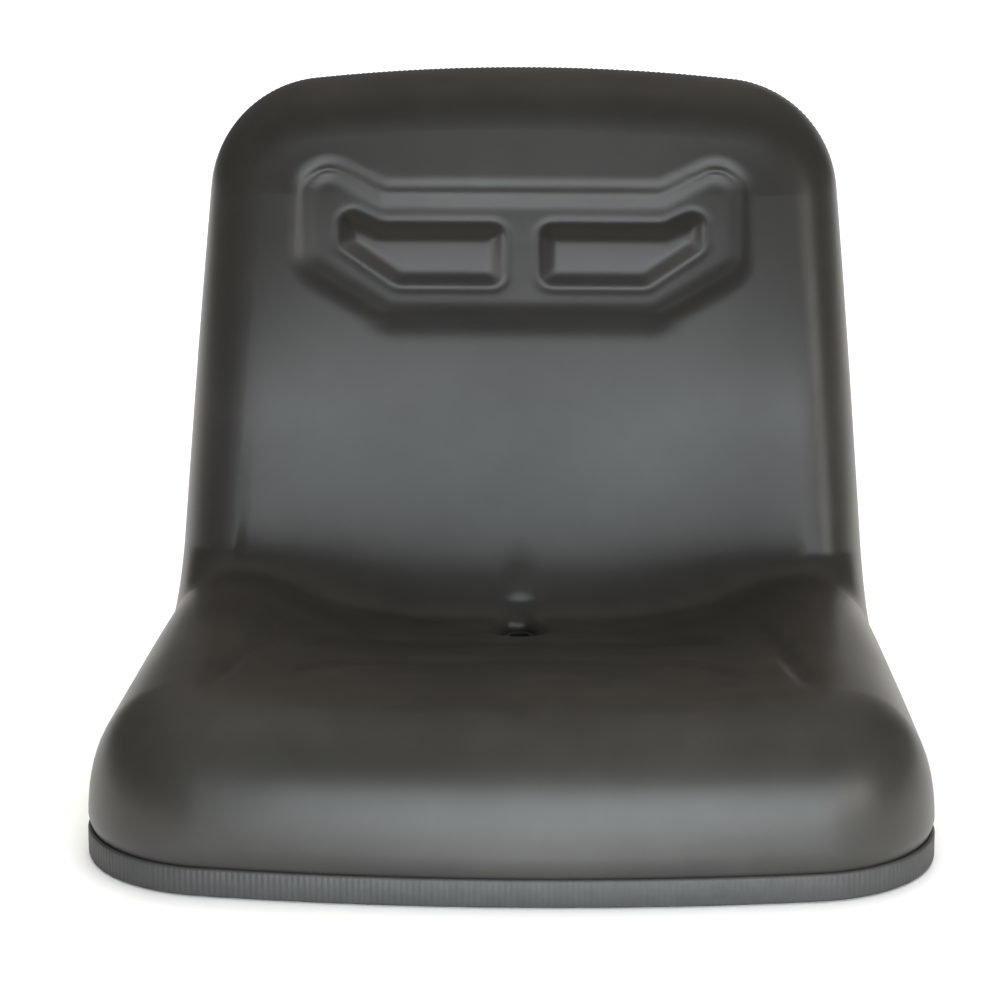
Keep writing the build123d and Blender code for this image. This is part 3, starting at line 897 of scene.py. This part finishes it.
def paint_finish(finishes):
    """Satin paint on pressed steel: orange peel, thin scuffs and a little dust."""
    material, wire, shader, place = start_finish("pan_paint")
    peel = noise(wire, place, 420.0, 2.0)
    dust = noise(wire, place, 14.0, 5.0, 0.65)
    scuff = between_levels(wire, noise(wire, place, 70.0, 6.0, 0.7), 0.62, 0.72)
    low, high = shades(finishes.paint, 0.85, 2.2)
    plug(
        wire,
        shader,
        base_color=(dust * 0.5 + scuff * 0.3).mixed(low, high),
        roughness=0.34 + 0.15 * dust + 0.1 * scuff,
        normal=bump(wire, peel, 0.12, 0.0004),
    )
    return material


def eyelet_finish(finishes):
    """Moulded plastic with a fine spark-eroded texture."""
    material, wire, shader, place = start_finish("eyelet_plastic")
    spark = noise(wire, place, 1800.0, 2.0)
    dust = noise(wire, place, 160.0, 3.0)
    low, high = shades(finishes.eyelet, 0.8, 1.8)
    plug(
        wire,
        shader,
        base_color=dust.mixed(low, high),
        roughness=0.45 + 0.15 * dust,
        normal=bump(wire, spark, 0.12, 0.0002),
    )
    return material


def zinc_finish(finishes):
    """Dull zinc plate with grey spangle."""
    material, wire, shader, place = start_finish("zinc_plate")
    spangle = wire.node("ShaderNodeTexVoronoi", None, {"Vector": place, "Scale": 420.0}, output="Distance")
    stain = noise(wire, place, 190.0, 4.0)
    low, high = shades(finishes.zinc, 0.6, 1.0)
    shader.inputs["Metallic"].default_value = 1.0
    plug(
        wire,
        shader,
        base_color=stain.mixed(low, high),
        roughness=0.34 + 0.18 * stain,
        normal=bump(wire, spangle, 0.08, 0.0003),
    )
    return material


def floor_finish(finishes):
    """Pale studio paper with a faint tooth."""
    material, wire, shader, place = start_finish("studio_paper")
    tooth = noise(wire, place, 900.0, 2.0)
    low, high = shades(finishes.floor, 0.985, 1.0)
    shader.inputs["Specular IOR Level"].default_value = 0.1
    plug(wire, shader, base_color=tooth.mixed(low, high), roughness=0.85 + 0.1 * tooth)
    return material


class SEAT_OT_cushion(bpy.types.Operator):
    """Make the moulded cushion in place of its plain solid"""

    bl_idname = "seat.cushion"
    bl_label = "Cushion"

    def execute(self, context):
        piece = build_cushion(SeatForm(context.scene))
        piece.data.materials.append(vinyl_finish(context.scene.seat_finishes))
        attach(piece, "root")
        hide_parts("seat_cushion")
        return {"FINISHED"}


class SEAT_OT_trim(bpy.types.Operator):
    """Make the ribbed edge trim in place of its plain solid"""

    bl_idname = "seat.trim"
    bl_label = "Edge trim"

    def execute(self, context):
        piece = build_trim(SeatForm(context.scene))
        piece.data.materials.append(trim_finish(context.scene.seat_finishes))
        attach(piece, "root")
        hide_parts("edge_trim")
        return {"FINISHED"}


class SEAT_OT_hardware(bpy.types.Operator):
    """Give the pan, the drain eyelet and the nuts their finishes"""

    bl_idname = "seat.hardware"
    bl_label = "Pan, eyelet and nuts"

    def execute(self, context):
        finishes = context.scene.seat_finishes
        made = {"seat_pan": paint_finish, "drain_eyelet": eyelet_finish, "weld_nuts": zinc_finish}
        for node, finish in made.items():
            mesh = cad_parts[node].data
            mesh.materials.clear()
            mesh.materials.append(finish(finishes))
        return {"FINISHED"}


class SEAT_OT_studio(bpy.types.Operator):
    """Set up the floor, the lights and the camera"""

    bl_idname = "seat.studio"
    bl_label = "Studio"

    def execute(self, context):
        studio, finishes = context.scene.seat_studio, context.scene.seat_finishes
        bm = bmesh.new()
        bmesh.ops.create_grid(bm, x_segments=FLOOR_CELLS, y_segments=FLOOR_CELLS, size=FLOOR_HALF)
        bmesh.ops.translate(bm, verts=bm.verts, vec=(0.0, FLOOR_SHIFT, -FLOOR_DROP))
        floor = mesh_object("studio_floor", bm)
        floor.data.materials.append(floor_finish(finishes))
        for light in LIGHTS:
            self.add_light(studio, *light)
        world = bpy.data.worlds.new("studio_world")
        world.use_nodes = True
        background = world.node_tree.nodes["Background"]
        background.inputs["Color"].default_value = (1.0, 0.98, 0.95, 1.0)
        background.inputs["Strength"].default_value = studio.world_strength
        context.scene.world = world
        context.scene.view_settings.view_transform = "Standard"
        data = bpy.data.cameras.new("camera")
        data.lens = studio.camera_lens
        camera = bpy.data.objects.new("camera", data)
        camera.location = studio.camera_place
        camera.rotation_euler = (studio.camera_tilt, 0.0, studio.camera_turn)
        context.scene.collection.objects.link(camera)
        context.scene.camera = camera
        return {"FINISHED"}

    def add_light(self, studio, name, place, target, size, tint, spread, glossy):
        """An area light at a place, turned to a target, with its light kept to a spread."""
        data = bpy.data.lights.new(f"{name}_light", "AREA")
        data.shape = "RECTANGLE"
        data.size, data.size_y = size
        data.energy, data.color = getattr(studio, f"{name}_power"), getattr(studio, f"{tint}_colour")
        data.spread = spread
        light = bpy.data.objects.new(data.name, data)
        light.location = place
        light.visible_glossy = glossy
        light.rotation_euler = (Vector(target) - Vector(place)).to_track_quat("-Z", "Y").to_euler()
        bpy.context.scene.collection.objects.link(light)


OPERATORS = (SEAT_OT_cushion, SEAT_OT_trim, SEAT_OT_hardware, SEAT_OT_studio)


class SEAT_PT_panel(bpy.types.Panel):
    """Lists the seat's operators and sizes"""

    bl_idname = "SEAT_PT_panel"
    bl_label = "Tractor seat"
    bl_space_type = "VIEW_3D"
    bl_region_type = "UI"
    bl_category = "Seat"

    def draw(self, context):
        for operator in OPERATORS:
            self.layout.operator(operator.bl_idname)
        for name, group in SETTINGS.items():
            box = self.layout.box()
            box.label(text=name.replace("_", " ").capitalize())
            for key in group.__annotations__:
                box.prop(getattr(context.scene, name), key)


CLASSES = (*SETTINGS.values(), *OPERATORS, SEAT_PT_panel)


def register():
    """Registers the classes and hangs the settings on the scene."""
    for item in CLASSES:
        bpy.utils.register_class(item)
    for name, group in SETTINGS.items():
        setattr(bpy.types.Scene, name, PointerProperty(type=group))


def unregister():
    """Takes the settings off the scene and removes the classes."""
    for name in SETTINGS:
        delattr(bpy.types.Scene, name)
    for item in reversed(CLASSES):
        bpy.utils.unregister_class(item)


def main():
    """Builds the dressed seat and its studio."""
    register()
    bpy.ops.seat.cushion()
    bpy.ops.seat.trim()
    bpy.ops.seat.hardware()
    bpy.ops.seat.studio()


if __name__ == "__main__":
    main()
